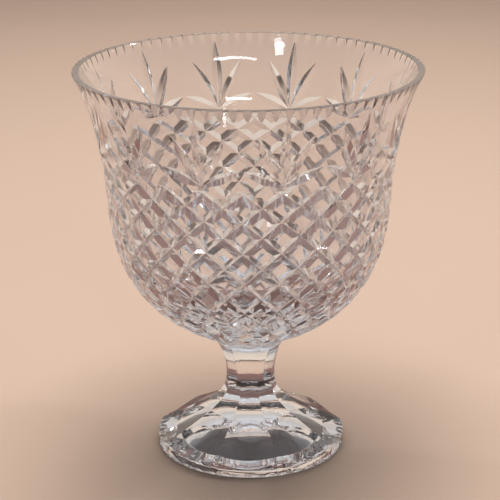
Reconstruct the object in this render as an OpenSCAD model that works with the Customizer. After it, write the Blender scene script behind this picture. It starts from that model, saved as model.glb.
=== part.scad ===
// Footed punch bowl in cut crystal.
// A deep flared bowl is bonded to a fluted stem, which stands on a pleated foot.
// Origin: centre of the foot's resting ring. +Z up. Azimuth 0 is the front, which is -Y.

/* [Overall] */
// Outer diameter of the rim
rim_d = 300; // [270:360]
// Height of the rim above the table
total_h = 344; // [325:400]
// Diameter of the foot
foot_d = 166; // [150:200]

/* [Bowl outline] */
// Outward lean of the wall at the rim, in degrees from upright
rim_lean = 28; // [15:32]
// Outer diameter at the waist, where the wall is steepest
waist_d = 244.5; // [225:0.5:265]
// Height of the waist above the joint with the stem
waist_h = 116; // [105:130]
// Outward lean of the wall at the waist, in degrees from upright
waist_lean = 4; // [2:8]
// Slope of the bowl's underside at the joint, in degrees from upright
heel_lean = 70; // [66:74]
// Diameter of the round joint between bowl and stem
collar_d = 73; // [64:80]

/* [Bowl wall] */
// Thickness of the wall at the rim, measured level
rim_wall = 6; // [5:8]
// Thickness of the wall at the waist, measured level
waist_wall = 10; // [9:12]
// Thickness of the bowl's bottom above the joint
bottom_wall = 20; // [18:26]

/* [Diamond cutting] */
// Diamonds in one turn of the bowl
columns = 24; // [20:2:28]
// Distance down the wall from the rim to the first row of crossings
lattice_top = 80; // [76:84]
// Distance between the first two rows of crossings
row_step = 11.9; // [11.5:0.1:12.1]
// How much longer each step is than the one above it
row_growth = 0.7; // [0.5:0.1:0.7]
// Depth of the crossings below the bowl's surface
cut_depth = 3; // [2:0.2:4]
// Share of each diamond that is left as a flat top
flat_share = 0.5; // [0.3:0.02:0.7]

/* [Fan cutting] */
// Distance down the wall from the rim to where each fan's leaves meet
fan_base = 72; // [68:73]
// Depth of a leaf at its middle
leaf_depth = 2.6; // [1.5:0.1:3]
// Width of a leaf at its middle
leaf_w = 9; // [6:10]

/* [Rim cutting] */
// Number of small flutes round the outside of the rim
rim_flutes = 84; // [60:12:96]
// Length of a rim flute down the wall
rim_flute_len = 11; // [8:13]
// Depth of a rim flute at the rim
rim_flute_depth = 1.6; // [0.8:0.2:2]

/* [Joint] */
// Height of the stem's top face above the table
joint_h = 105; // [98:112]
// Thickness of the clear adhesive between bowl and stem
bond_t = 0.3; // [0.2:0.1:0.5]

/* [Stem] */
// Number of flat panels round the stem and the foot
panels = 9; // [8:12]
// Diameter of the stem over its ridges, at the neck
neck_d = 43.5; // [38:48]
// Height of the neck above the table
neck_h = 65; // [62:70]
// Height of the joint between stem and foot
stem_foot_h = 50; // [47:53]
// Diameter over the ridges where stem and foot meet
stem_foot_d = 50; // [48:54]
// Slope of the flare at the joint with the bowl, in degrees from upright
stem_lean = 43; // [35:50]
// Height below the top face over which the ridges fade out
ridge_fade = 11; // [8:14]

/* [Foot] */
// Height of the foot's upright edge at a ridge
edge_h = 13.5; // [11:16]
// Extra depth of the crease down the middle of each panel
pleat_depth = 1.9; // [1:0.1:2.4]
// Diameter of the hollow under the foot
hollow_d = 118; // [104:124]
// Height of the hollow at its middle
hollow_h = 15; // [10:20]
// Number of small flutes under each panel of the foot
flutes_per_panel = 4; // [2:2:6]
// Length of a flute, which ends at the foot's bottom edge
foot_flute_len = 12; // [8:16]
// Depth of a flute under the foot
foot_flute_depth = 1; // [0.6:0.2:1.6]
// Width of the bevel round the foot's bottom edge
edge_bevel = 1; // [0.5:0.1:1.5]

/* [Hidden] */
glass = [0.86, 0.90, 0.92, 0.6];
first_azimuth = -2.5;
first_ridge = -22.5;
column_w = 360 / columns;
panel_w = 360 / panels;
rings = 2 * columns;
last_row = 11;
fade_step = 9;
bowl_z = joint_h + bond_t;
curve_steps = 18;

// ---- outlines: each knot is [radius, height, lean], joined by smooth curves ----
function lean_dir(lean) = [-sin(lean), -cos(lean)];
function bezier(p, t) =
    pow(1 - t, 3) * p[0] + 3 * pow(1 - t, 2) * t * p[1] + 3 * (1 - t) * t * t * p[2] + pow(t, 3) * p[3];
function handles(a, b, pull_a, pull_b) =
    let (from = [a[0], a[1]], to = [b[0], b[1]], reach = norm(to - from))
    [from, from + lean_dir(a[2]) * pull_a * reach, to - lean_dir(b[2]) * pull_b * reach, to];
function outline(knots, pulls) = [
    for (i = [0 : len(knots) - 2], k = [0 : curve_steps - 1])
        bezier(handles(knots[i], knots[i + 1], pulls[i][0], pulls[i][1]), k / curve_steps),
    [knots[len(knots) - 1][0], knots[len(knots) - 1][1]]
];

outer_knots = [
    [rim_d / 2, total_h, rim_lean],
    [waist_d / 2, bowl_z + waist_h, waist_lean],
    [collar_d / 2, bowl_z, heel_lean]
];
outer = outline(outer_knots, [[0.32, 0.37], [0.36, 0.43]]);
inner_knots = [
    [rim_d / 2 - rim_wall, total_h, rim_lean],
    [waist_d / 2 - waist_wall, bowl_z + waist_h, waist_lean],
    [0, bowl_z + bottom_wall, 90]
];
inner = outline(inner_knots, [[0.32, 0.31], [0.43, 0.5]]);

// Distance down the wall from the rim to each point of the outline
outer_run = [
    for (i = 0, s = 0; i < len(outer); s = s + norm(outer[min(i + 1, len(outer) - 1)] - outer[i]), i = i + 1) s
];
outer_len = outer_run[len(outer_run) - 1];
r_table = [for (i = [0 : len(outer) - 1]) [outer_run[i], outer[i].x]];
z_table = [for (i = [0 : len(outer) - 1]) [outer_run[i], outer[i].y]];
function outer_at(s) = [lookup(s, r_table), lookup(s, z_table)];
function outer_normal(s) =
    let (d = outer_at(s + 2) - outer_at(s - 2)) [-d.y, d.x] / norm(d);
function turned(p, az) = [p.x * sin(az), -p.x * cos(az), p.y];
// A point s down the wall at one azimuth, sunk below the surface
function wall_pt(s, az, sink = 0) =
    let (inside = min(max(s, 2), outer_len - 2)) turned(outer_at(s) - sink * outer_normal(inside), az);

// ---- the diamond lattice ----
// Rows 0 to last_row are cut; two uncut rows above and below them let the cuts fade out
function row_s(k) =
    k < 0 ? lattice_top + k * fade_step :
    k > last_row ? row_s(last_row) + (k - last_row) * fade_step :
    lattice_top + k * row_step + row_growth * k * (k - 1) / 2;
function row_sink(k) = k < 0 || k > last_row ? 0 : cut_depth;
function crossing(k, az) = wall_pt(row_s(k), az, row_sink(k));
// One diamond: four bevels that rise from the grooves to a flat top
function diamond(k, az) =
    let (
        half_w = column_w / 2,
        corners = [crossing(k - 1, az), crossing(k, az + half_w), crossing(k + 1, az), crossing(k, az - half_w)],
        up = row_s(k) + flat_share * (row_s(k - 1) - row_s(k)),
        down = row_s(k) + flat_share * (row_s(k + 1) - row_s(k)),
        top = [
            wall_pt(up, az), wall_pt(row_s(k), az + flat_share * half_w),
            wall_pt(down, az), wall_pt(row_s(k), az - flat_share * half_w)
        ]
    )
    concat(
        [[top[0], top[1], top[2]], [top[0], top[2], top[3]]],
        [for (i = [0 : 3]) [corners[i], corners[(i + 1) % 4], top[(i + 1) % 4]]],
        [for (i = [0 : 3]) [corners[i], top[(i + 1) % 4], top[i]]]
    );
lattice = [
    for (k = [-1 : last_row + 1], c = [0 : columns - 1])
        let (az = first_azimuth + column_w * (c + (k % 2 == 0 ? 0.5 : 0)))
        each diamond(k, az)
];

// ---- rings of points and the skin between them ----
function ring_az(i) = first_azimuth + i * column_w / 2;
function outer_ring(s) = [for (i = [0 : rings - 1]) wall_pt(s, ring_az(i))];
// The lattice's zigzag edge, whose even points lie in one row and odd points in the next
function zigzag_ring(even_row, odd_row) =
    [for (i = [0 : rings - 1]) wall_pt(row_s(i % 2 == 0 ? even_row : odd_row), ring_az(i))];
function level_ring(p) = [for (i = [0 : rings - 1]) turned(p, ring_az(i))];
function skin(low, high) = [
    for (i = [0 : len(low) - 1])
        let (j = (i + 1) % len(low))
        each [[high[i], high[j], low[j]], [high[i], low[j], low[i]]]
];
function skins(stack) = [for (i = [0 : len(stack) - 2]) each skin(stack[i], stack[i + 1])];
function cap_below(ring, centre) = [for (i = [0 : len(ring) - 1]) [ring[i], ring[(i + 1) % len(ring)], centre]];
function cap_above(ring, centre) = [for (i = [0 : len(ring) - 1]) [centre, ring[(i + 1) % len(ring)], ring[i]]];

// The lattice ends in a zigzag between its last even row and its last odd row
even_end = last_row + 2 - last_row % 2;
odd_end = last_row + 1 + last_row % 2;
collar_rings = concat(
    [for (i = [0 : 3]) outer_ring(outer_len + (row_s(last_row + 2) + 4 - outer_len) * i / 3)],
    [zigzag_ring(even_end, odd_end)]
);
plain_top = row_s(-2) - 6;
rim_rings = concat(
    [zigzag_ring(-2, -1)],
    [for (i = [0 : 6]) outer_ring(plain_top * (1 - i / 6))],
    [for (i = [0 : 2 : len(inner) - 2]) level_ring(inner[i])]
);
bowl_faces = concat(
    cap_below(collar_rings[0], [0, 0, bowl_z]),
    skins(collar_rings),
    lattice,
    skins(rim_rings),
    cap_above(rim_rings[len(rim_rings) - 1], [0, 0, bowl_z + bottom_wall])
);

module solid_of(faces) {
    corners = [for (f = faces) each f];
    polyhedron(points = corners, faces = [for (i = [0 : len(faces) - 1]) [3 * i, 3 * i + 1, 3 * i + 2]]);
}

// ---- cutters ----
// A V-edged wheel's cut from one point of the wall to another, deepest in the middle
module wheel_cut(s0, az0, s1, az1, width, depth) {
    mid_s = (s0 + s1) / 2;
    mid_az = (az0 + az1) / 2;
    mm_per_degree = outer_at(mid_s).x * PI / 180;
    along = [s1 - s0, (az1 - az0) * mm_per_degree];
    across = [-along.y, along.x] / norm(along) * width;
    side_az = across.y / mm_per_degree;
    // The cut's sides leave the glass at its surface, so they are drawn to twice the depth above it
    hull() polyhedron(
        points = [
            wall_pt(s0, az0, -0.05), wall_pt(s1, az1, -0.05),
            wall_pt(mid_s + across.x, mid_az + side_az, -depth),
            wall_pt(mid_s - across.x, mid_az - side_az, -depth),
            wall_pt(mid_s, mid_az, depth)
        ],
        faces = [[0, 1, 2], [0, 3, 1], [0, 2, 4], [2, 1, 4], [1, 3, 4], [3, 0, 4]]
    );
}

// Each leaf ends this many columns to the side and this far down the wall from the rim
leaf_tips = [[0, 11], [0.63, 29], [-0.63, 29], [0.95, 59], [-0.95, 59]];
module fan(az) {
    for (tip = leaf_tips) wheel_cut(fan_base, az, tip[1], az + tip[0] * column_w, leaf_w, leaf_depth);
}

module rim_flute(az) {
    pitch = 360 / rim_flutes;
    hull() polyhedron(
        points = [
            wall_pt(rim_flute_len, az, -0.05), wall_pt(0, az, rim_flute_depth) + [0, 0, 1],
            wall_pt(0, az - pitch / 2, -0.05) + [0, 0, 1], wall_pt(0, az + pitch / 2, -0.05) + [0, 0, 1],
            wall_pt(0, az, -3) + [0, 0, 1]
        ],
        faces = [[0, 2, 1], [0, 1, 3], [1, 2, 4], [1, 4, 3], [0, 4, 2], [0, 3, 4]]
    );
}

module bowl() {
    color(glass)
    difference() {
        solid_of(bowl_faces);
        for (i = [1 : 2 : columns - 1]) fan(first_azimuth + i * column_w);
        for (i = [0 : rim_flutes - 1]) rim_flute(first_azimuth + (i + 0.5) * 360 / rim_flutes);
    }
}

module bowl_bond() {
    color("lightcyan", 0.6) translate([0, 0, joint_h]) cylinder(d = collar_d, h = bond_t, $fn = 96);
}

// ---- stem and foot: rings of alternate ridges and creases ----
// Share of the ridge radius that is left at the middle of a flat panel
flat_mid = cos(panel_w / 2);
function pleated(radius, z, mid_share) = [
    for (i = [0 : 2 * panels - 1])
        turned([i % 2 == 0 ? radius : radius * mid_share, z], first_ridge + i * panel_w / 2)
];

stem_upper = outline([[collar_d / 2, joint_h, stem_lean], [neck_d / 2, neck_h, 0]], [[0.35, 0.28]]);
stem_lower = outline([[neck_d / 2, neck_h, 0], [stem_foot_d / 2, stem_foot_h, -30]], [[0.4, 0.35]]);
// The panels are flat below the fade, and turn into a round collar above it
function stem_share(z) = 1 + (flat_mid - 1) * min(1, (joint_h - z) / ridge_fade);
stem_outline = concat([for (i = [0 : curve_steps - 1]) stem_upper[i]], stem_lower);
stem_rings = [for (i = [len(stem_outline) - 1 : -1 : 0])
    pleated(stem_outline[i].x, stem_outline[i].y, stem_share(stem_outline[i].y))];

module stem() {
    color(glass)
    solid_of(concat(
        cap_below(stem_rings[0], [0, 0, stem_foot_h]),
        skins(stem_rings),
        cap_above(stem_rings[len(stem_rings) - 1], [0, 0, joint_h])
    ));
}

// The ridge line runs straight on past the foot's edge, so that every panel can reach the edge
overrun = 8;
edge_fall = 0.55;
ridge_line = outline(
    [
        [stem_foot_d / 2, stem_foot_h, -30],
        [foot_d / 2 + overrun, edge_h - overrun * edge_fall, -atan(1 / edge_fall)]
    ],
    [[0.2, 0.5]]
);
ridge_table = [for (p = ridge_line) [p.x, p.y]];
// Height of the foot's top at a radius and an angle from the middle of a panel.
// A panel is flat across, but for a crease down its middle that deepens towards the edge.
function foot_top(r, phase) =
    let (
        ridge_r = r * cos(phase) / flat_mid,
        across = r * abs(sin(phase)) / (ridge_r * sin(panel_w / 2)),
        out = (ridge_r - stem_foot_d / 2) / (foot_d / 2 - stem_foot_d / 2)
    )
    lookup(ridge_r, ridge_table) - pleat_depth * max(0, out) * (1 - across);

foot_points = 3 * flutes_per_panel * panels;
function foot_az(i) = first_ridge + i * 360 / foot_points;
function foot_phase(i) = (i % (foot_points / panels)) * 360 / foot_points - panel_w / 2;
function foot_level(r, z) = [for (i = [0 : foot_points - 1]) turned([r, z], foot_az(i))];
// Every third point is the bottom of a small flute
function foot_fluted(r) =
    [for (i = [0 : foot_points - 1]) turned([r, i % 3 == 1 ? foot_flute_depth : 0], foot_az(i))];
// Rings of the top go from the foot's round edge to the stem's outline
function foot_top_ring(share) = [
    for (i = [0 : foot_points - 1])
        let (
            stem_r = stem_foot_d / 2 * flat_mid / cos(foot_phase(i)),
            r = stem_r + share * (foot_d / 2 - stem_r)
        )
        turned([r, share == 0 ? stem_foot_h : foot_top(r, foot_phase(i))], foot_az(i))
];

hollow_r = (hollow_d * hollow_d / 4 + hollow_h * hollow_h) / (2 * hollow_h);
function hollow_z(r) = hollow_h - hollow_r + sqrt(hollow_r * hollow_r - r * r);
// Distance over which a flute runs out at each of its ends
flute_runout = 3;
flute_outer_r = foot_d / 2 - edge_bevel;
flute_inner_r = flute_outer_r - foot_flute_len;
hollow_steps = 6;
top_steps = 8;
foot_rings = concat(
    [for (i = [1 : hollow_steps - 1]) foot_level(hollow_d / 2 * i / hollow_steps,
        hollow_z(hollow_d / 2 * i / hollow_steps))],
    [foot_level(hollow_d / 2, 0), foot_level(flute_inner_r, 0)],
    [foot_fluted(flute_inner_r + flute_runout), foot_fluted(flute_outer_r - flute_runout)],
    [foot_level(flute_outer_r, 0)],
    [foot_level(foot_d / 2, edge_bevel)],
    [for (i = [top_steps : -1 : 0]) foot_top_ring(i / top_steps)]
);

module foot() {
    color(glass)
    solid_of(concat(
        cap_below(foot_rings[0], [0, 0, hollow_h]),
        skins(foot_rings),
        cap_above(foot_rings[len(foot_rings) - 1], [0, 0, stem_foot_h])
    ));
}

bowl();
bowl_bond();
stem();
foot();
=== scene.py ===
# %% [markdown]
# # A footed punch bowl in cut crystal
#
# This lesson models a heavy crystal punch bowl as the glasshouse makes it: a thick flared
# bowl is turned first and then cut with wheels, a stem and a pleated foot are pressed, and a
# film of clear adhesive joins the bowl to the stem. Glass shows every face it has, front and
# back at once, so the faces have to be the real ones. A bump map can't stand in for them.
#
# The lesson goes in the order of the workshop: outlines, finishes, the bowl's blank and its
# three kinds of cut, the stem, the foot, the joint, and last the stage that they stand on.

# %% Load the fixed frame
import bmesh
import bpy
from math import atan, atan2, cos, degrees, pi, radians, sin, sqrt, tan
from mathutils import Matrix, Vector
from mathutils.geometry import interpolate_bezier


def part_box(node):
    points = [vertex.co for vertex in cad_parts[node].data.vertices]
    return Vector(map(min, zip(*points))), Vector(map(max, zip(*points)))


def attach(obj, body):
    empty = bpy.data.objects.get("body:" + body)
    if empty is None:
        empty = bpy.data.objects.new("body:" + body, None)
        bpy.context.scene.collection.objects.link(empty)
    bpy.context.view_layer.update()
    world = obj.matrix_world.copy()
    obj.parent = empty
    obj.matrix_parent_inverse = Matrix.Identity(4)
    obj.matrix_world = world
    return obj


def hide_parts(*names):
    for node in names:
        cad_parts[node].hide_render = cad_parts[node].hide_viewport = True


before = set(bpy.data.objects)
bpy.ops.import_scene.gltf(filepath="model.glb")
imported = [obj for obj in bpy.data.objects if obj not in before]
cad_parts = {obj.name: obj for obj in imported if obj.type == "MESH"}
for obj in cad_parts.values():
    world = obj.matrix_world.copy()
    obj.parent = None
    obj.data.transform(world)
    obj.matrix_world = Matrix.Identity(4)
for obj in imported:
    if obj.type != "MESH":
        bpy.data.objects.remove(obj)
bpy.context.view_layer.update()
MM = 0.001
print("nodes:", sorted(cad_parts))

# %% [markdown]
# ## Driving sizes
#
# The frame already knows how wide and how tall each node is, so those sizes are read from it.
# The rest are the cutter's own numbers: how many diamonds go round, how deep the wheel goes
# and how far down the wall each cut starts. They are kept in metres, like everything else.

# %% Sizes from the frame
bowl_low, bowl_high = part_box("bowl")
bond_low, bond_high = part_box("bowl_bond")
stem_low, stem_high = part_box("stem")
foot_low, foot_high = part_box("foot")
RIM_Z = bowl_high[2]
BOWL_Z = bowl_low[2]
JOINT_Z = stem_high[2]
STEM_FOOT_Z = foot_high[2]
# The rim's flutes bite into the blank, so the frame's own box is a little narrower than this
RIM_R = 150 * MM
COLLAR_R = (bond_high[0] - bond_low[0]) / 2
FOOT_R = (foot_high[0] - foot_low[0]) / 2
print("rim", round(RIM_Z, 4), "bowl starts", round(BOWL_Z, 4))
print("collar radius", round(COLLAR_R, 4), "foot radius", round(FOOT_R, 4))

# %% Sizes of the cutting
COLUMNS = 24
FIRST_AZIMUTH = radians(-2.5)
COLUMN_W = 2 * pi / COLUMNS
LATTICE_TOP = 80 * MM
ROW_STEP = 11.9 * MM
ROW_GROWTH = 0.7 * MM
LAST_ROW = 11
ROW_FADE_ABOVE = 9 * MM
ROW_FADE_BELOW = 14 * MM
CUT_DEPTH = 3 * MM
WHEEL_HALF_ANGLE = radians(60)
WHEEL_EDGE = 0.3 * MM
FAN_BASE = 72 * MM
RIM_FLUTES = 84
PANELS = 9
FIRST_RIDGE = radians(-22.5)
PANEL_W = 2 * pi / PANELS
print("a diamond is", round(degrees(COLUMN_W)), "degrees wide and a panel", round(degrees(PANEL_W)))

# %% [markdown]
# ## Outlines
#
# A turned shape is fixed by its outline, and an outline needs few points. Each knot here is a
# radius, a height and a lean from upright, and Blender's own Bezier interpolation joins one
# knot to the next. That is how a glassmaker's template is drawn, and it keeps every curve
# smooth without a long list of points.


# %% Outline helpers
def lean_dir(lean):
    return Vector((-sin(radians(lean)), 0, -cos(radians(lean))))


def outline(knots, pulls, steps):
    """Points (radius, 0, height) along smooth curves from knot to knot."""
    points = []
    for (a, b), (pull_a, pull_b) in zip(zip(knots, knots[1:]), pulls):
        start, end = Vector((a[0], 0, a[1])), Vector((b[0], 0, b[1]))
        reach = (end - start).length
        handle_a = start + lean_dir(a[2]) * pull_a * reach
        handle_b = end - lean_dir(b[2]) * pull_b * reach
        curve = interpolate_bezier(start, handle_a, handle_b, end, steps + 1)
        points += curve if not points else curve[1:]
    return points


def runs_of(points):
    """Distance along the outline to each of its points."""
    total, runs = 0.0, [0.0]
    for a, b in zip(points, points[1:]):
        total += (b - a).length
        runs.append(total)
    return runs


# %% [markdown]
# The bowl needs two outlines. The outside leans out at the rim, stands nearly upright at the
# waist and turns in almost flat to the joint. The inside follows it, and the glass between
# them grows from 6 mm at the rim to 20 mm at the bottom, as it does in a heavy blown blank.

# %% The bowl's two outlines
RIM_LEAN, WAIST_LEAN, HEEL_LEAN = 28, 4, 70
WAIST_R = 122.25 * MM
WAIST_Z = BOWL_Z + 116 * MM
RIM_WALL, WAIST_WALL, BOTTOM_WALL = 6 * MM, 10 * MM, 20 * MM

outer = outline(
    [(RIM_R, RIM_Z, RIM_LEAN), (WAIST_R, WAIST_Z, WAIST_LEAN), (COLLAR_R, BOWL_Z, HEEL_LEAN)],
    [(0.32, 0.37), (0.36, 0.43)],
    72,
)
inner = outline(
    [
        (RIM_R - RIM_WALL, RIM_Z, RIM_LEAN),
        (WAIST_R - WAIST_WALL, WAIST_Z, WAIST_LEAN),
        (0, BOWL_Z + BOTTOM_WALL, 90),
    ],
    [(0.32, 0.31), (0.43, 0.5)],
    30,
)
outer_runs = runs_of(outer)
print("outside of the wall is", round(outer_runs[-1] / MM, 1), "mm from rim to joint")


# %% [markdown]
# ## Places on the wall
#
# A cutter measures along the glass, not straight down, so a place on the bowl is given by its
# distance from the rim along the wall and its azimuth from the front. Rows of crossings sit a
# little further apart as they go down, which keeps the diamonds in shape as the wall turns in.

# %% Places on the bowl's wall
def wall_at(s):
    """The outline's point s down the wall from the rim, and its direction there."""
    k = 0
    while k < len(outer_runs) - 2 and outer_runs[k + 1] < s:
        k += 1
    a, b = outer[k], outer[k + 1]
    step = (b - a).normalized()
    return a + step * (s - outer_runs[k]), step


def wall_place(s, azimuth):
    """A place on the wall: the point and the outward normal."""
    reach = 2 * MM
    point = wall_at(s)[0]
    down = (wall_at(s - reach)[1] + wall_at(s + reach)[1]).normalized()
    turn = Matrix.Rotation(azimuth - pi / 2, 3, "Z")
    return turn @ point, turn @ Vector((-down.z, 0, down.x))


def row_s(row):
    """How far down the wall a row of crossings lies; rows may be fractions."""
    if row < 0:
        return LATTICE_TOP + row * ROW_FADE_ABOVE
    if row > LAST_ROW:
        return row_s(LAST_ROW) + (row - LAST_ROW) * ROW_FADE_BELOW
    return LATTICE_TOP + row * ROW_STEP + ROW_GROWTH * row * (row - 1) / 2


print("last row is", round(wall_at(row_s(LAST_ROW))[0].z / MM, 1), "mm above the table")


# %% [markdown]
# ## Finishes of crystal
#
# The blank and the pressed pieces are fire polished, so they are as smooth as glass can be,
# but the surface is a little wavy and carries the odd smudge. What the wheel has cut is only
# acid polished: it is bright, yet it blurs what lies behind it. The ground rim is rough, and
# its dark grey tint is painted shade in place of the dark that the rim reflects. One node
# group makes the waves, smudges and tint for all of them. It gives a colour, a roughness and
# a height, and the shader itself stays in each material.

# %% Node group for glass surfaces
def surface_group():
    group = bpy.data.node_groups.new("glass_surface", "ShaderNodeTree")
    for name, kind, start in (
        ("Tint", "NodeSocketColor", (1, 1, 1, 1)), ("Base Roughness", "NodeSocketFloat", 0.0),
        ("Smudge", "NodeSocketFloat", 0.02), ("Wave Size", "NodeSocketFloat", 40.0),
    ):
        group.interface.new_socket(name=name, in_out="INPUT", socket_type=kind).default_value = start
    for name, kind in (
        ("Colour", "NodeSocketColor"), ("Roughness", "NodeSocketFloat"), ("Height", "NodeSocketFloat"),
    ):
        group.interface.new_socket(name=name, in_out="OUTPUT", socket_type=kind)
    nodes, links = group.nodes, group.links
    inputs, outputs = nodes.new("NodeGroupInput"), nodes.new("NodeGroupOutput")
    coords = nodes.new("ShaderNodeTexCoord")

    def noise(scale, detail):
        node = nodes.new("ShaderNodeTexNoise")
        node.inputs["Detail"].default_value = detail
        links.new(coords.outputs["Object"], node.inputs["Vector"])
        if isinstance(scale, float):
            node.inputs["Scale"].default_value = scale
        else:
            links.new(scale, node.inputs["Scale"])
        return node.outputs["Fac"]

    waves = noise(inputs.outputs["Wave Size"], 1.0)
    links.new(waves, outputs.inputs["Height"])

    spots = nodes.new("ShaderNodeMapRange")
    spots.inputs["From Min"].default_value = 0.52
    spots.inputs["From Max"].default_value = 0.72
    links.new(noise(55.0, 4.0), spots.inputs["Value"])
    rough = nodes.new("ShaderNodeMath")
    rough.operation = "MULTIPLY_ADD"
    links.new(spots.outputs[0], rough.inputs[0])
    links.new(inputs.outputs["Smudge"], rough.inputs[1])
    links.new(inputs.outputs["Base Roughness"], rough.inputs[2])
    links.new(rough.outputs[0], outputs.inputs["Roughness"])

    depth = nodes.new("ShaderNodeMapRange")
    depth.inputs["To Min"].default_value = 0.985
    depth.inputs["To Max"].default_value = 1.0
    links.new(noise(12.0, 2.0), depth.inputs["Value"])
    tint = nodes.new("ShaderNodeVectorMath")
    tint.operation = "SCALE"
    links.new(inputs.outputs["Tint"], tint.inputs[0])
    links.new(depth.outputs[0], tint.inputs["Scale"])
    links.new(tint.outputs["Vector"], outputs.inputs["Colour"])
    return group


glass_surface = surface_group()
print("node group", glass_surface.name, "has", len(glass_surface.nodes), "nodes")


# %% [markdown]
# Each finish is plain glass with its own tint, roughness and waves. Lead crystal bends light
# strongly, so its index is 1.55, and the adhesive's is a little lower. A wheel cut has two
# layers in one: under its bright skin, which is the coat, the glass is slightly rough.
#
# The last finish, for joined faces, isn't glass at all. Where two pieces meet there is no air
# between them, so light goes straight on, and those flat faces have to let it through.

# %% Build the finishes
def glass(name, tint, roughness, smudge, wave_size, wave_height, ior=1.55, coat=0):
    material = bpy.data.materials.new(name)
    material.use_nodes = True
    nodes, links = material.node_tree.nodes, material.node_tree.links
    shader = nodes["Principled BSDF"]
    shader.inputs["IOR"].default_value = ior
    shader.inputs["Transmission Weight"].default_value = 1
    shader.inputs["Coat Weight"].default_value = coat
    shader.inputs["Coat Roughness"].default_value = 0.01
    surface = nodes.new("ShaderNodeGroup")
    surface.node_tree = glass_surface
    surface.inputs["Tint"].default_value = (*tint, 1)
    surface.inputs["Base Roughness"].default_value = roughness
    surface.inputs["Smudge"].default_value = smudge
    surface.inputs["Wave Size"].default_value = wave_size
    links.new(surface.outputs["Colour"], shader.inputs["Base Color"])
    links.new(surface.outputs["Roughness"], shader.inputs["Roughness"])
    bump = nodes.new("ShaderNodeBump")
    bump.inputs["Strength"].default_value = 1
    bump.inputs["Distance"].default_value = wave_height
    links.new(surface.outputs["Height"], bump.inputs["Height"])
    links.new(bump.outputs["Normal"], shader.inputs["Normal"])
    return material


polished = glass("polished_crystal", (0.965, 0.972, 0.985), 0.0, 0.03, 45.0, 0.12 * MM)
wheel_cut = glass("wheel_cut_crystal", (0.962, 0.97, 0.988), 0.07, 0.04, 250.0, 0.02 * MM, coat=1)
pressed = glass("pressed_crystal", (0.95, 0.958, 0.972), 0.0, 0.03, 70.0, 0.15 * MM)
# The ground rim is rough, and its dark grey tint is painted shade, standing in for the dark that the rim
# reflects
ground_rim_painted_shade = glass("ground_rim_painted_shade_crystal", (0.34, 0.36, 0.38), 0.2, 0.06, 400.0, 0.02 * MM)
adhesive = glass("clear_adhesive", (0.97, 0.97, 0.96), 0.03, 0.02, 300.0, 0.01 * MM, ior=1.5)

joined = bpy.data.materials.new("joined_glass")
joined.use_nodes = True
joined_nodes = joined.node_tree.nodes
joined_nodes.remove(joined_nodes["Principled BSDF"])
see_through = joined_nodes.new("ShaderNodeBsdfTransparent")
joined.node_tree.links.new(see_through.outputs[0], joined_nodes["Material Output"].inputs["Surface"])
print("finishes:", [m.name for m in bpy.data.materials])

# %% [markdown]
# ## From an outline to a solid
#
# `bmesh.ops.spin` is the lathe. Its outline starts and ends on the axis, so the spun skin
# closes by itself once the doubled points at the poles are merged. A cut is a difference of
# two solids. The exact finish of every face survives it, because the blank and the cutter
# carry the same list of finishes, and the cutter's faces are all marked as wheel cut.

# %% Mesh helpers
WELD = 0.002 * MM
SHARP_ANGLE = radians(14)
IN_PLANE = 0.01 * MM


def spun(points, steps, start=0.0):
    """A closed turned solid from an outline that starts and ends on the axis."""
    bm = bmesh.new()
    turn = Matrix.Rotation(start - pi / 2, 3, "Z")
    verts = [bm.verts.new(turn @ p) for p in points]
    edges = [bm.edges.new(pair) for pair in zip(verts, verts[1:])]
    bmesh.ops.spin(
        bm, geom=verts + edges, cent=(0, 0, 0), axis=(0, 0, 1), angle=2 * pi, steps=steps, use_merge=True
    )
    bmesh.ops.remove_doubles(bm, verts=bm.verts, dist=WELD)
    bmesh.ops.recalc_face_normals(bm, faces=bm.faces)
    return bm


def piece(name, bm, finishes, finish=0):
    """Turn a bmesh into an object of the scene, with its finishes and all faces in one of them."""
    mesh = bpy.data.meshes.new(name)
    for face in bm.faces:
        face.material_index = finish
    bm.to_mesh(mesh)
    bm.free()
    for material in finishes:
        mesh.materials.append(material)
    obj = bpy.data.objects.new(name, mesh)
    bpy.context.scene.collection.objects.link(obj)
    return obj


def cut(target, cutter):
    """Take the cutter's solid out of the target for good."""
    modifier = target.modifiers.new("cut", "BOOLEAN")
    modifier.operation = "DIFFERENCE"
    modifier.solver = "MANIFOLD"
    modifier.material_mode = "INDEX"
    modifier.object = cutter
    bpy.context.view_layer.update()
    done = bpy.data.meshes.new_from_object(target.evaluated_get(bpy.context.evaluated_depsgraph_get()))
    target.modifiers.remove(modifier)
    worn = target.data
    target.data = done
    bpy.data.meshes.remove(worn)
    bpy.data.objects.remove(cutter)
    print("  cut leaves", len(done.polygons), "faces")


def shade(obj):
    """Smooth faces, with a crisp edge wherever two faces meet at more than the sharp angle."""
    bm = bmesh.new()
    bm.from_mesh(obj.data)
    bmesh.ops.remove_doubles(bm, verts=bm.verts, dist=WELD)
    bmesh.ops.dissolve_degenerate(bm, edges=bm.edges, dist=WELD)
    for face in bm.faces:
        face.smooth = True
    for edge in bm.edges:
        edge.smooth = edge.is_manifold and edge.calc_face_angle(pi) < SHARP_ANGLE
    open_edges = sum(not edge.is_manifold for edge in bm.edges)
    bm.to_mesh(obj.data)
    bm.free()
    print(obj.name, len(obj.data.polygons), "faces,", open_edges, "open edges")
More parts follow.
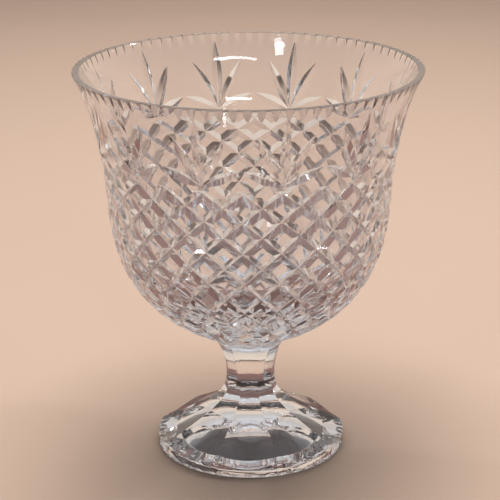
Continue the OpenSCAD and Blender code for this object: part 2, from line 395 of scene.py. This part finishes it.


# %% [markdown]
# ## The bowl's blank
#
# The blank is the uncut bowl: outside wall, a rim with softly rounded corners, inside wall and
# a thick flat bottom that sits on the joint. It is spun finely, because what the wheels leave
# of it is seen as perfectly smooth glass. The very top of the rim is ground level after the
# blowpipe is cracked off, so it takes the rough ground finish, whose dark grey tint is painted
# shade.

# %% Spin the blank
def rim_corner(outside, inside, radius, steps):
    """Two small arcs that carry the outline over the rim."""
    out_step = (outside[1] - outside[0]).normalized()
    in_step = (inside[1] - inside[0]).normalized()
    over = (inside[0] - outside[0]).normalized()
    first = interpolate_bezier(
        outside[0] + out_step * radius, outside[0], outside[0], outside[0] + over * radius, steps
    )
    second = interpolate_bezier(
        inside[0] - over * radius, inside[0], inside[0], inside[0] + in_step * radius, steps
    )
    return first + second


RIM_CORNER = 1.2 * MM
PAST_CORNER = 1.3 * MM
GROUND_H = 0.8 * MM
BLANK_STEPS = 240
rim = rim_corner(outer, inner, RIM_CORNER, 6)
keep_out = [p for p, s in zip(outer, outer_runs) if s > PAST_CORNER]
keep_in = [p for p, s in zip(inner, runs_of(inner)) if s > PAST_CORNER]
axis_low = Vector((0, 0, BOWL_Z))
bowl_outline = [axis_low, axis_low.lerp(outer[-1], 0.5)] + keep_out[::-1] + rim + keep_in
BOWL_FINISHES = (polished, wheel_cut, joined, ground_rim_painted_shade)
bowl = piece("crystal_bowl", spun(bowl_outline, BLANK_STEPS), BOWL_FINISHES)
# The top of the rim takes the rough ground finish with its painted shade
for polygon in bowl.data.polygons:
    if polygon.center.z > RIM_Z - GROUND_H:
        polygon.material_index = BOWL_FINISHES.index(ground_rim_painted_shade)
print("blank has", len(bowl.data.polygons), "faces")

# %% [markdown]
# ## Cutting wheels
#
# A cutter presses the glass on a turning wheel with a V edge and walks it along a drawn line.
# Where the wheel goes deeper the cut is also wider, so one straight line with a depth that
# rises and falls gives the pointed olive of a leaf. Here the wheel's track is a row of
# triangles or round sections set on the wall and bridged into one solid, which is then taken
# out of the blank.


# %% Sections and tracks
EDGE_SHARE = 0.2
CUT = 1


def vee(place, depth, lift):
    """A V section: its narrow edge sinks in the glass and its open side stands clear of it."""
    point, normal, side = place
    half = (depth + lift) * tan(WHEEL_HALF_ANGLE)
    edge = min(WHEEL_EDGE, EDGE_SHARE * half)
    bottom, top = point - normal * depth, point + normal * lift
    return [bottom - side * edge, bottom + side * edge, top + side * half, top - side * half]


def scoop(radius, steps=9):
    """A round section, as a wheel with a rounded edge leaves."""

    def section(place, depth, lift):
        point, normal, side = place
        centre = point + normal * (radius - depth)
        half = pi / 3
        arc = [
            centre + side * radius * sin(a) - normal * radius * cos(a)
            for a in (half * (2 * k / steps - 1) for k in range(steps + 1))
        ]
        return arc + [arc[-1] + normal * lift, arc[0] + normal * lift]

    return section


def track(stations, section):
    """Bridge a section along stations of (point, normal, depth, lift) into a closed solid."""
    bm = bmesh.new()
    loops = []
    for k, (point, normal, depth, lift) in enumerate(stations):
        ahead = stations[min(k + 1, len(stations) - 1)][0] - stations[max(k - 1, 0)][0]
        side = normal.cross(ahead).normalized()
        verts = [bm.verts.new(p) for p in section((point, normal, side), depth, lift)]
        loops.append([bm.edges.new((verts[i - 1], verts[i])) for i in range(len(verts))])
    for first, second in zip(loops, loops[1:]):
        bmesh.ops.bridge_loops(bm, edges=first + second)
    bmesh.ops.holes_fill(bm, edges=loops[0] + loops[-1], sides=0)
    bmesh.ops.recalc_face_normals(bm, faces=bm.faces)
    return bm


def repeated(bm, count):
    """Copies of the solid all round the axis, each its own closed shell."""
    bmesh.ops.spin(
        bm, geom=bm.verts[:] + bm.edges[:] + bm.faces[:], cent=(0, 0, 0), axis=(0, 0, 1),
        angle=2 * pi * (count - 1) / count, steps=count - 1, use_duplicate=True,
    )
    return bm


# %% [markdown]
# ## The diamonds
#
# Two sets of grooves run down the wall, one leaning each way, and every diamond is simply what
# the grooves leave between them: the flat top is still the blank's own polished surface. The
# grooves run out just above the first row of crossings and fade below the last, where the
# bowl turns in so far that the wheel would foul the foot of the blank.

# %% Cut the diamond grooves
RUN_IN = 0.4
FADE_SHARE = 0.7
GROOVE_LIFT = 1.6 * MM
GROOVE_ROWS = [-RUN_IN, -RUN_IN / 2] + [k / 3 for k in range(3 * LAST_ROW + 1)]
GROOVE_ROWS += [LAST_ROW + 0.35 * k for k in (1, 2, 3, 4)]


def groove_depth(row):
    if row < 0:
        return CUT_DEPTH * max(0.0, 1 + row / RUN_IN)
    if row > LAST_ROW:
        return CUT_DEPTH * max(0.0, 1 - (row - LAST_ROW) * FADE_SHARE)
    return CUT_DEPTH


def groove(direction):
    """One groove, which moves half a column sideways from each row to the next."""
    stations = []
    for row in GROOVE_ROWS:
        azimuth = FIRST_AZIMUTH + direction * row * COLUMN_W / 2
        stations.append((*wall_place(row_s(row), azimuth), groove_depth(row), GROOVE_LIFT))
    return track(stations, vee)


for direction in (1, -1):
    cut(bowl, piece("grooves", repeated(groove(direction), COLUMNS), BOWL_FINISHES, CUT))

# %% [markdown]
# ## The fans
#
# Above every second column five leaves spread from one point. Leaves of one kind never touch
# each other, but leaves of one fan do at their base, so each kind is cut in its own pass. A
# leaf is named by where its tip is: columns to the side, and millimetres down from the rim.

# %% Cut the fans of leaves
LEAF_DEPTH = 2.7 * MM
LEAF_LIFT = 1.2 * MM
LEAF_STEPS = 20
LEAF_TIPS = [(0, 10.5), (0.63, 28), (-0.63, 28), (0.95, 58), (-0.95, 58)]


def leaf(side, tip_s):
    """One leaf, deep in the middle of its length and nearly nothing at both ends."""
    stations = []
    for k in range(LEAF_STEPS + 1):
        u = k / LEAF_STEPS
        depth = LEAF_DEPTH * sin(pi * (0.03 + 0.94 * u)) ** 0.9 * (0.8 + 0.2 * sin(pi * u))
        azimuth = FIRST_AZIMUTH + COLUMN_W * (1 + side * u)
        s = FAN_BASE + (tip_s * MM - FAN_BASE) * u
        stations.append((*wall_place(s, azimuth), depth, LEAF_LIFT))
    return track(stations, vee)


for side, tip_s in LEAF_TIPS:
    cut(bowl, piece("leaves", repeated(leaf(side, tip_s), COLUMNS // 2), BOWL_FINISHES, CUT))

# %% [markdown]
# ## The rim's flutes
#
# Small round flutes scallop the rim's outer edge. Each is deepest at the very edge and fades
# out 11 mm below it. Neighbours nearly touch, so odd and even ones are cut in turn.


# %% Cut the rim flutes
RIM_WHEEL_R = 7.2 * MM
RIM_FLUTE_DEPTH = 1.5 * MM
RIM_FLUTE_LIFT = 3 * MM
RIM_FLUTE_FADE = 12
RIM_FLUTE_RUN = (-4, -2, 0, 2, 4, 6, 8, 10, 11.5)


def rim_flute(which):
    """One flute, which starts above the rim and has faded out 11.5 mm down the wall."""
    azimuth = FIRST_AZIMUTH + (which + 0.5) * 2 * pi / RIM_FLUTES
    stations = [
        (*wall_place(s * MM, azimuth), RIM_FLUTE_DEPTH * (1 - s / RIM_FLUTE_FADE) - 0.1 * MM, RIM_FLUTE_LIFT)
        for s in RIM_FLUTE_RUN
    ]
    return track(stations, scoop(RIM_WHEEL_R))


for which in (0, 1):
    cut(bowl, piece("rim_flutes", repeated(rim_flute(which), RIM_FLUTES // 2), BOWL_FINISHES, CUT))
shade(bowl)

# %% [markdown]
# ## The stem
#
# The stem is pressed in a mould with nine flat sides and flares at both ends. The lathe gives
# the ridges' own outline, and then every point is drawn in towards the flat between its two
# ridges. Near the joint the flats fade, so the stem meets the bowl as a plain round. Pressed
# glass comes out of the mould hot and its edges melt a little, so they are bevelled round.

# %% Panel helpers
CRISP_ANGLE = radians(22)


def soften(bm, width, joint_z):
    """Round the crisp edges, as the fire polish does, but not those in the plane of a joint."""
    crisp = [
        edge for edge in bm.edges
        if edge.calc_face_angle(0) > CRISP_ANGLE and any(abs(v.co.z - joint_z) > IN_PLANE for v in edge.verts)
    ]
    bmesh.ops.bevel(
        bm, geom=crisp, offset=width, segments=3, profile=0.5, affect="EDGES", material=-1, clamp_overlap=True
    )


def panel_phase(azimuth):
    """Angle from the middle of the nearest panel, from half a panel below to half above."""
    turn = (azimuth - FIRST_RIDGE) / PANEL_W
    return (turn - int(turn // 1) - 0.5) * PANEL_W


def azimuth_of(point):
    return atan2(point.x, -point.y)


# %% Spin and flatten the stem
NECK_R = 21.75 * MM
NECK_Z = 65 * MM
STEM_FOOT_R = 25 * MM
STEM_LEAN = 43
FOOT_LEAN = -30
RIDGE_FADE = 11 * MM
STEM_STEPS = PANELS * 24
PRESSED_FINISHES = (pressed, wheel_cut, joined)

stem_outer = outline(
    [(COLLAR_R, JOINT_Z, STEM_LEAN), (NECK_R, NECK_Z, 0), (STEM_FOOT_R, STEM_FOOT_Z, FOOT_LEAN)],
    [(0.35, 0.28), (0.4, 0.35)],
    30,
)
stem_outline = [Vector((0, 0, JOINT_Z))] + stem_outer + [Vector((0, 0, STEM_FOOT_Z))]
stem_bm = spun(stem_outline, STEM_STEPS, FIRST_RIDGE)
for vert in stem_bm.verts:
    phase = panel_phase(azimuth_of(vert.co))
    fade = min(1.0, (JOINT_Z - vert.co.z) / RIDGE_FADE)
    pull = 1 + (cos(PANEL_W / 2) / cos(phase) - 1) * fade
    vert.co.x *= pull
    vert.co.y *= pull
soften(stem_bm, 0.35 * MM, STEM_FOOT_Z)
stem = piece("pressed_stem", stem_bm, PRESSED_FINISHES)
shade(stem)

# %% [markdown]
# ## The foot
#
# The foot's top is nine shallow pleats that carry on from the stem's ridges down to a round
# wall. One formula gives its height anywhere, so the lathe makes the rings and the formula
# lifts them. Under it are a shallow dome, which keeps the foot from rocking, and a ring of
# wheel flutes that sparkle through the edge.

# %% Height of the foot's top
EDGE_FALL = 0.55
RIDGE_END_R = 91 * MM
RIDGE_END_Z = 9.1 * MM
PLEAT_DEPTH = 1.9 * MM
foot_ridge = outline(
    [(STEM_FOOT_R, STEM_FOOT_Z, FOOT_LEAN), (RIDGE_END_R, RIDGE_END_Z, -degrees(atan(1 / EDGE_FALL)))],
    [(0.2, 0.5)],
    60,
)


def foot_top(r, phase):
    """Height of the foot's pleated top."""
    ridge_r = r * cos(phase) / cos(PANEL_W / 2)
    k = 0
    while k < len(foot_ridge) - 2 and foot_ridge[k + 1].x < ridge_r:
        k += 1
    a, b = foot_ridge[k], foot_ridge[k + 1]
    height = a.z + (b.z - a.z) * (ridge_r - a.x) / (b.x - a.x)
    out = max(0.0, (ridge_r - STEM_FOOT_R) / (FOOT_R - STEM_FOOT_R))
    across = r * abs(sin(phase)) / (ridge_r * sin(PANEL_W / 2))
    return height - PLEAT_DEPTH * out * (1 - across)


print("a ridge meets the edge at", round(foot_top(FOOT_R, PANEL_W / 2) / MM, 1), "mm")
print("a crease meets it at", round(foot_top(FOOT_R, 0) / MM, 1), "mm")

# %% [markdown]
# The lathe spins the foot with a level lid, because the pleats aren't there yet. Each ring of
# that lid is then given a shape between the nine-sided neck and the round edge, and the
# formula sets its height. The outermost ring becomes the wavy top of the foot's wall.

# %% Spin and pleat the foot
HOLLOW_R = 59 * MM
HOLLOW_H = 15 * MM
DOME_R = (HOLLOW_R ** 2 + HOLLOW_H ** 2) / (2 * HOLLOW_H)
NECK_FLAT = STEM_FOOT_R * cos(PANEL_W / 2)


def dome_z(r):
    return HOLLOW_H - DOME_R + sqrt(DOME_R ** 2 - r ** 2)


DOME_STEPS = 16
FOOT_EDGE = 1 * MM
EDGE_CORNER = 0.3 * MM
TOP_RINGS = 40
FOOT_STEPS = PANELS * 32
LEVEL = 60 * MM
NEAR = 1 * MM
dome_radii = [HOLLOW_R * k / DOME_STEPS for k in range(DOME_STEPS + 1)]
under = [Vector((r, 0, dome_z(r))) for r in dome_radii]
wall = [
    Vector(point) for point in (
        (FOOT_R - FOOT_EDGE, 0, 0), (FOOT_R - EDGE_CORNER, 0, EDGE_CORNER), (FOOT_R, 0, FOOT_EDGE),
    )
]
top = [Vector((FOOT_R + (NECK_FLAT - FOOT_R) * k / TOP_RINGS, 0, LEVEL)) for k in range(TOP_RINGS + 1)]
foot_bm = spun(under + wall + top + [Vector((0, 0, LEVEL + STEM_FOOT_Z))], FOOT_STEPS, FIRST_RIDGE)
for vert in foot_bm.verts:
    if vert.co.z < LEVEL - NEAR:
        continue
    r = vert.co.xy.length
    phase = panel_phase(azimuth_of(vert.co))
    neck_r = NECK_FLAT / cos(phase)
    if r > NEAR:
        spread = (r - NECK_FLAT) / (FOOT_R - NECK_FLAT)
        out_r = neck_r + (FOOT_R - neck_r) * spread
        vert.co.x *= out_r / r
        vert.co.y *= out_r / r
        vert.co.z = foot_top(out_r, phase)
    else:
        vert.co.z = STEM_FOOT_Z
soften(foot_bm, 0.45 * MM, STEM_FOOT_Z)
foot = piece("pleated_foot", foot_bm, PRESSED_FINISHES)
print("foot has", len(foot.data.polygons), "faces before its flutes are cut")

# %% [markdown]
# The flutes lie on the foot's flat ring and point outwards. They are cut with the same round
# wheel as the rim's, only bigger, and they stop just short of the foot's edge.

# %% Cut the flutes under the foot
FOOT_FLUTES = 36
FOOT_WHEEL_R = 16 * MM
FOOT_FLUTE_LIFT = 2 * MM
FLUTE_RUN = [(72, 0.1), (73, 0.4), (74.5, 0.8), (76.5, 1), (79, 1), (80.5, 0.7), (81.4, 0.4), (81.8, 0.1)]


def foot_flute(which):
    """One flute on the underside, whose track points straight out from the middle."""
    azimuth = FIRST_RIDGE + (which + 0.5) * 2 * pi / FOOT_FLUTES
    turn = Matrix.Rotation(azimuth - pi / 2, 3, "Z")
    down = Vector((0, 0, -1))
    stations = [(turn @ Vector((r * MM, 0, 0)), down, depth * MM, FOOT_FLUTE_LIFT) for r, depth in FLUTE_RUN]
    return track(stations, scoop(FOOT_WHEEL_R))


for which in (0, 1):
    cut(foot, piece("foot_flutes", repeated(foot_flute(which), FOOT_FLUTES // 2), PRESSED_FINISHES, CUT))
shade(foot)


# %% [markdown]
# ## The joint
#
# A film of clear adhesive, thinner than a fingernail, joins the bowl to the stem. Glass on
# both sides bends light nearly as much as the film does, so little shows but the film's
# bright rim. Adhesive shrinks a little as it cures, so that rim lies just inside the glass.

# %% Turn the film
FILM_INSET = 0.25 * MM
FILM_BULGE = 0.15 * MM
film_low, film_high = bond_low[2], bond_high[2]
film_r = COLLAR_R - FILM_INSET
film_edge = [
    Vector(point) for point in (
        (0, 0, film_low), (film_r, 0, film_low), (film_r + FILM_BULGE, 0, (film_low + film_high) / 2),
        (film_r, 0, film_high), (0, 0, film_high),
    )
]
film = piece("adhesive_film", spun(film_edge, BLANK_STEPS), (adhesive, wheel_cut, joined))
shade(film)

# %% [markdown]
# The flat faces at the joints are told from all others by their height and by being level.
# Each piece carries the see-through finish third in its list.

# %% Give the joints their clear faces
CLEAR = 2
LEVEL_FACE = 0.999


def clear_joint(obj, heights):
    """Give the flat faces at a joint the see-through finish, so that light passes straight."""
    count = 0
    for polygon in obj.data.polygons:
        if abs(polygon.normal.z) > LEVEL_FACE and any(abs(polygon.center.z - z) < IN_PLANE for z in heights):
            polygon.material_index = CLEAR
            count += 1
    print(obj.name, "has", count, "clear faces at its joints")


clear_joint(bowl, [BOWL_Z])
clear_joint(film, [film_low, film_high])
clear_joint(stem, [JOINT_Z, STEM_FOOT_Z])
clear_joint(foot, [STEM_FOOT_Z])

# %% [markdown]
# ## Taking their places
#
# Every piece is still, so all four ride on the root body. Each one stands for the node of the
# frame that it was measured from.

# %% Ride on the frame
for obj, node, slot in (
    (bowl, "bowl", "bowl_crystal"), (film, "bowl_bond", "clear_bond"),
    (stem, "stem", "stem_crystal"), (foot, "foot", "foot_crystal"),
):
    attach(obj, "root")
    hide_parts(node)
    print(obj.name, "stands for", node)

# %% [markdown]
# ## Camera
#
# The eye is 1.6 m away and looks down at the bowl by about nineteen degrees, as a guest does
# who walks up to the table. From so far off a long lens fills the frame, and the rim and the
# foot keep their true sizes to each other.

# %% Camera
camera = bpy.data.cameras.new("camera")
camera.lens = 131.5
camera.sensor_width = 36
eye = bpy.data.objects.new("camera", camera)
bpy.context.scene.collection.objects.link(eye)
eye.location = (0, -1.5171, 0.6942)
LOOK_AT = Vector((0.0004, 0, 0.1805))
ROLL = Matrix.Rotation(-0.0066, 3, "Z")
gaze = LOOK_AT - eye.location
eye.rotation_euler = (gaze.to_track_quat("-Z", "Y").to_matrix() @ ROLL).to_euler()
bpy.context.scene.camera = eye
down_angle = degrees(atan(-gaze.z / gaze.y))
print("the camera is", round(gaze.length, 2), "m away and looks down", round(down_angle, 1), "degrees")

# %% [markdown]
# ## Floor and dark card
#
# The floor is plain, pale and quite matt. It lies a hair below the foot, so that the two
# faces don't fight.
#
# Clear glass has no colour of its own. Cut faces that send the eye down to a pale floor look
# pale too, and the cutting fades away. A studio lays a dark card under glass to bring it out.
# Here the card can be seen only through the glass and in reflections. It casts no shadow and
# colours nothing, and the camera looks past it at the floor.

# %% Floor and card
STAGE_ROUGHNESS = 0.6
FLOOR_R = 6
FLOOR_Z = -0.4 * MM
CARD_Z = -0.2 * MM
CARD_CORNERS = [(-1.2, -1.3), (1.2, -1.3), (1.2, 0.2), (-1.2, 0.2)]


def matt(name, colour, specular):
    material = bpy.data.materials.new(name)
    material.use_nodes = True
    inputs = material.node_tree.nodes["Principled BSDF"].inputs
    inputs["Base Color"].default_value = (*colour, 1)
    inputs["Roughness"].default_value = STAGE_ROUGHNESS
    inputs["Specular IOR Level"].default_value = specular
    return material


floor_bm = bmesh.new()
bmesh.ops.create_circle(floor_bm, cap_ends=True, segments=96, radius=FLOOR_R)
bmesh.ops.translate(floor_bm, verts=floor_bm.verts, vec=(0, 0, FLOOR_Z))
floor = piece("floor", floor_bm, [matt("floor_paint", (0.55, 0.405, 0.32), 0)])

card_bm = bmesh.new()
card_bm.faces.new([card_bm.verts.new((x, y, CARD_Z)) for x, y in CARD_CORNERS])
card = piece("dark_card", card_bm, [matt("dark_cardboard", (0.2, 0.1, 0.08), 0.5)])
card.visible_camera = False
card.visible_diffuse = False
card.visible_shadow = False
for prop in (floor, card):
    print(prop.name, "is", round(prop.dimensions.x, 1), "m wide and belongs to the stage")

# %% [markdown]
# ## The room
#
# A glass bowl is a picture of its room. Behind the bowl is a warm pale wall that cools off
# towards the ceiling. Behind the camera the room is dimmer and cooler. The two halves blend
# at the sides. On matt things the room shines only faintly, because the lamps light those.

# %% Room
world = bpy.data.worlds.new("room")
bpy.context.scene.world = world
world.use_nodes = True
nodes, links = world.node_tree.nodes, world.node_tree.links
coords = nodes.new("ShaderNodeTexCoord")
split = nodes.new("ShaderNodeSeparateXYZ")
links.new(coords.outputs["Generated"], split.inputs[0])


def ramp_of(source, stops):
    """A colour ramp along the source, from stops of (position, colour)."""
    ramp = nodes.new("ShaderNodeValToRGB")
    links.new(source, ramp.inputs["Fac"])
    elements = ramp.color_ramp.elements
    elements[0].position, elements[0].color = stops[0][0], (*stops[0][1], 1)
    elements[1].position, elements[1].color = stops[-1][0], (*stops[-1][1], 1)
    for position, colour in stops[1:-1]:
        elements.new(position).color = (*colour, 1)
    return ramp.outputs["Color"]


back_side = ramp_of(
    split.outputs["Z"],
    [
        (0, (0.98, 0.82, 0.68)), (0.2, (0.9, 0.76, 0.64)), (0.45, (0.66, 0.6, 0.56)), (1, (0.85, 0.88, 0.95)),
    ],
)
front_side = ramp_of(
    split.outputs["Z"],
    [
        (0, (0.16, 0.13, 0.11)), (0.25, (0.3, 0.28, 0.27)), (0.5, (0.42, 0.42, 0.43)), (1, (0.85, 0.88, 0.95)),
    ],
)
side = nodes.new("ShaderNodeMapRange")
side.inputs["From Min"].default_value = 0.15
side.inputs["From Max"].default_value = -0.35
links.new(split.outputs["Y"], side.inputs["Value"])
# A mix node lists its sockets for every kind of data, and these are its colours
MIX_A, MIX_B, MIX_RESULT = 6, 7, 2
mix = nodes.new("ShaderNodeMix")
mix.data_type = "RGBA"
links.new(side.outputs[0], mix.inputs["Factor"])
links.new(back_side, mix.inputs[MIX_A])
links.new(front_side, mix.inputs[MIX_B])
links.new(mix.outputs[MIX_RESULT], nodes["Background"].inputs["Color"])
path = nodes.new("ShaderNodeLightPath")
strength = nodes.new("ShaderNodeMapRange")
strength.inputs["To Min"].default_value = 0.9
strength.inputs["To Max"].default_value = 0.2
links.new(path.outputs["Is Diffuse Ray"], strength.inputs["Value"])
links.new(strength.outputs[0], nodes["Background"].inputs["Strength"])
print("the room has", len(nodes), "nodes")

# %% [markdown]
# ## Lamps
#
# Two wide soft lamps, one above and one behind, light the floor and give the bowl its shadow.
# They would look too big in crystal, so it doesn't show them. The bright strips and patches
# in the crystal come from six small lamps: two long strips, a window and three spots. Each
# lamp's last two values say whether it shows in reflections and whether it shows through the
# glass. The camera itself sees none of them.

# %% Lamps
AIM = Vector((0, 0, 0.2))
for name, place, size, energy, colour, shows in (
    ("strip_high", (0.4, -2.0, 1.6), (1.3, 0.06), 3.6, (0.93, 0.96, 1), (True, False)),
    ("strip_low", (0.35, -2.4, 0.95), (0.95, 0.05), 2.4, (0.93, 0.96, 1), (True, False)),
    ("window", (-0.85, -1.75, 1.75), (0.25, 0.3), 3.0, (0.9, 0.94, 1), (True, True)),
    ("spot_left", (-1.1, 1.2, 1.5), (0.14, 0.14), 5.0, (0.95, 0.97, 1), (True, True)),
    ("spot_right", (1.4, 0.3, 1.3), (0.14, 0.2), 5.0, (0.95, 0.97, 1), (True, True)),
    ("spot_front", (0.7, -1.8, 0.5), (0.1, 0.3), 4.5, (0.95, 0.97, 1), (True, True)),
    ("back", (0.2, 1.6, 1.9), (2.0, 1.2), 30, (1, 0.97, 0.93), (False, False)),
    ("top", (-0.05, 0.05, 1.9), (0.9, 0.9), 26, (1, 0.97, 0.93), (False, False)),
):
    light = bpy.data.lights.new(name, "AREA")
    light.energy = energy
    light.color = colour
    light.shape = "RECTANGLE"
    light.size, light.size_y = size
    lamp = bpy.data.objects.new(name, light)
    lamp.location = place
    lamp.rotation_euler = (AIM - Vector(place)).to_track_quat("-Z", "Y").to_euler()
    lamp.visible_camera = False
    lamp.visible_glossy, lamp.visible_transmission = shows
    bpy.context.scene.collection.objects.link(lamp)
    print(name, energy, "W")

# %% [markdown]
# ## Paths of light
#
# A ray that crosses the bowl passes two walls, each with an outer and an inner face, and in
# the cut parts it may bounce inside the glass several times. With too few bounces the ray
# ends early and the face turns black, so the limits are high.

# %% Light paths and finish
cycles = bpy.context.scene.cycles
cycles.max_bounces = 24
cycles.transmission_bounces = 24
cycles.glossy_bounces = 12
cycles.transparent_max_bounces = 24
cycles.caustics_refractive = False
cycles.caustics_reflective = False
bpy.context.scene.view_settings.view_transform = "Standard"
print("a ray may bounce", cycles.max_bounces, "times")
